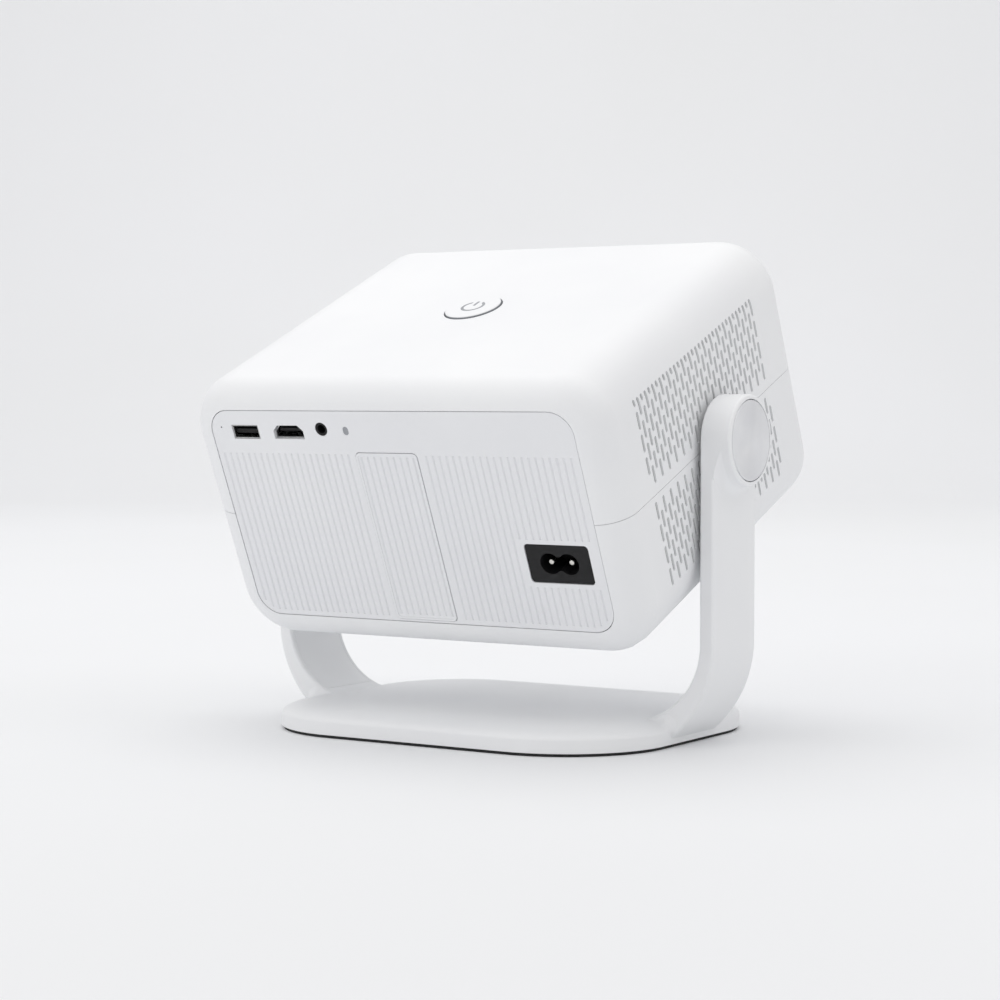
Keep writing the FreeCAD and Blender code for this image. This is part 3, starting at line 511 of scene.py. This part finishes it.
def armFillet(rings, profile, bottomRows, middle):
    # beside each arm's foot the surface lifts along its own normal in a quarter round, kept below the
    # arm's own bends; rings are in millimetres about the base's middle, which lies at this y
    slope = np.gradient(profile, axis=0)
    normal = np.stack([-slope[:, 1], slope[:, 0]], axis=1)
    normal = normal / np.maximum(np.linalg.norm(normal, axis=1, keepdims=True), 1e-9)
    x, y, z = np.abs(rings[..., 0]), np.abs(rings[..., 1] + middle), rings[..., 2]
    innerX, innerZ, innerR = baseShape["innerBend"]
    outerX, outerZ, outerR = baseShape["outerBend"]
    under = innerZ - np.sqrt(np.maximum(innerR ** 2 - np.maximum(x - innerX, 0) ** 2, 0)) - z
    outside = outerX + np.sqrt(np.maximum(outerR ** 2 - (outerZ - z) ** 2, 0)) - x
    size = np.clip(np.minimum(under, outside) - baseShape["cover"], 0, baseShape["fillet"])
    size[:bottomRows] = 0
    size = size * (x > innerX)
    inside = np.clip(size - np.clip(y - baseShape["armHalf"], 0, None), 0, None)
    lift = size - np.sqrt(np.maximum(size ** 2 - inside ** 2, 0))
    rings[..., 0] -= np.sign(rings[..., 0]) * lift * normal[:, :1]
    rings[..., 2] += lift * normal[:, 1:]


def makeBase():
    # crowned base plate: a short wall, then a quarter ellipse that rises gently to the flat middle
    low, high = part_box("base_pad")
    middle = (high.y + low.y) / 2 / mm
    centres, outward = baseOutline((high.x - low.x) / 2 / mm + baseShape["padInset"],
                                   (high.y - low.y) / 2 / mm + baseShape["padInset"])
    profile, bottomRows = baseProfile(high.z / mm)
    reach = (baseShape["corner"] - profile[:, 0])[:, None, None]
    place = centres[None] + reach * outward[None]
    height = np.broadcast_to(profile[:, 1][:, None, None], place.shape[:2] + (1,))
    rings = np.concatenate([place, height], axis=2)
    armFillet(rings, profile, bottomRows, middle)
    # the flat middle closes on a small ring about the centre
    shrink = np.linspace(1, baseShape["coreScale"], baseSteps["core"] + 1)[1:, None, None]
    core = np.concatenate([rings[-1:, :, :2] * shrink,
                           np.broadcast_to(rings[-1:, :, 2:], (baseSteps["core"], rings.shape[1], 1))], axis=2)
    rings = np.concatenate([rings, core])
    rings[..., 1] += middle
    piece = surfaceObject("crownedBase", rings * mm, whiteAbs, closeEnds=("start", "end"))
    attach(piece, "stand")
    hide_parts("base_shell")
    print("base made")


makeBase()


# ---------- floor, light and camera

cameraSetup = {"place": (-0.5422, 0.8483, 0.1353), "look": (0.5406, -0.8402, -0.0430), "lens": 89.79,
               "clip": (0.01, 50)}
stageShape = {"front": -3.5, "reach": 3.2, "bend": 1.2, "height": 3.0, "width": 8.0, "bendSteps": 24,
              "acrossSteps": 9, "shades": ("#edeeef", "#f0f1f3"), "driftMm": 900.0,
              "grainMm": 1.2, "depthMm": 0.02, "strength": 0.3}
# each softbox: name, place, size and power; all are plain white
softboxes = (("topSoftbox", (0.3, 0.1, 1.7), (1.8, 1.8), 10.4),
             ("rearSoftbox", (0.9, 1.7, 0.9), (1.2, 1.2), 4.0),
             ("sideSoftbox", (-1.1, -0.1, 1.5), (1.2, 1.2), 3.4))
lightSetup = {"middle": (0.0, 0.0, 0.1), "wall": (1.45, -2.25, 0.25), "worldColour": "#f6f5f5",
              "worldStrength": 0.7}


def makeStage():
    # floor that sweeps up into a backdrop away from the camera, one pale sheet
    material, tree, shader, place = startMaterial("paintedCove", 0.7)
    varyColour(tree, shader, place, *stageShape["shades"], stageShape["driftMm"])
    addGrain(tree, shader, place, stageShape["grainMm"], stageShape["depthMm"], stageShape["strength"])
    turn = np.linspace(0, math.pi / 2, stageShape["bendSteps"])
    reach, bend, height = stageShape["reach"], stageShape["bend"], stageShape["height"]
    out = np.concatenate([[stageShape["front"], reach - bend], reach - bend + bend * np.sin(turn), [reach]])
    rise = np.concatenate([[0, 0], bend - bend * np.cos(turn), [height]])
    view = np.array(cameraSetup["look"])
    along = np.array([view[0], view[1], 0]) / math.hypot(view[0], view[1])
    beside = np.array([along[1], -along[0], 0])
    spread = np.linspace(-1, 1, stageShape["acrossSteps"]) * stageShape["width"] / 2
    rings = (out[:, None, None] * along + rise[:, None, None] * np.array([0, 0, 1.0])
             + spread[None, :, None] * beside)
    floor = surfaceObject("floor", rings, material, closeAround=False)


def addLight(name, place, target, size, power):
    lamp = bpy.data.lights.new(name, "AREA")
    lamp.shape = "RECTANGLE"
    lamp.size, lamp.size_y = size
    lamp.energy = power
    holder = bpy.data.objects.new(name, lamp)
    holder.location = place
    holder.rotation_euler = (Vector(target) - Vector(place)).to_track_quat("-Z", "Y").to_euler()
    bpy.context.scene.collection.objects.link(holder)


def makeLights():
    for name, place, size, power in softboxes:
        addLight(name, place, lightSetup["middle"], size, power)
    addLight("backdropWash", (0.75, -1.15, 1.9), lightSetup["wall"], (2.6, 0.8), 12.2)
    world = bpy.data.worlds.new("studio")
    world.use_nodes = True
    background = world.node_tree.nodes["Background"]
    background.inputs["Color"].default_value = hexToLinear(lightSetup["worldColour"])
    background.inputs["Strength"].default_value = lightSetup["worldStrength"]
    bpy.context.scene.world = world
    bpy.context.scene.view_settings.view_transform = "Standard"


def makeCamera():
    data = bpy.data.cameras.new("camera")
    data.lens = cameraSetup["lens"]
    data.clip_start, data.clip_end = cameraSetup["clip"]
    holder = bpy.data.objects.new("camera", data)
    holder.location = cameraSetup["place"]
    holder.rotation_euler = Vector(cameraSetup["look"]).to_track_quat("-Z", "Y").to_euler()
    bpy.context.scene.collection.objects.link(holder)
    bpy.context.scene.camera = holder


makeStage()
makeLights()
makeCamera()
print("stage, lights and camera made")
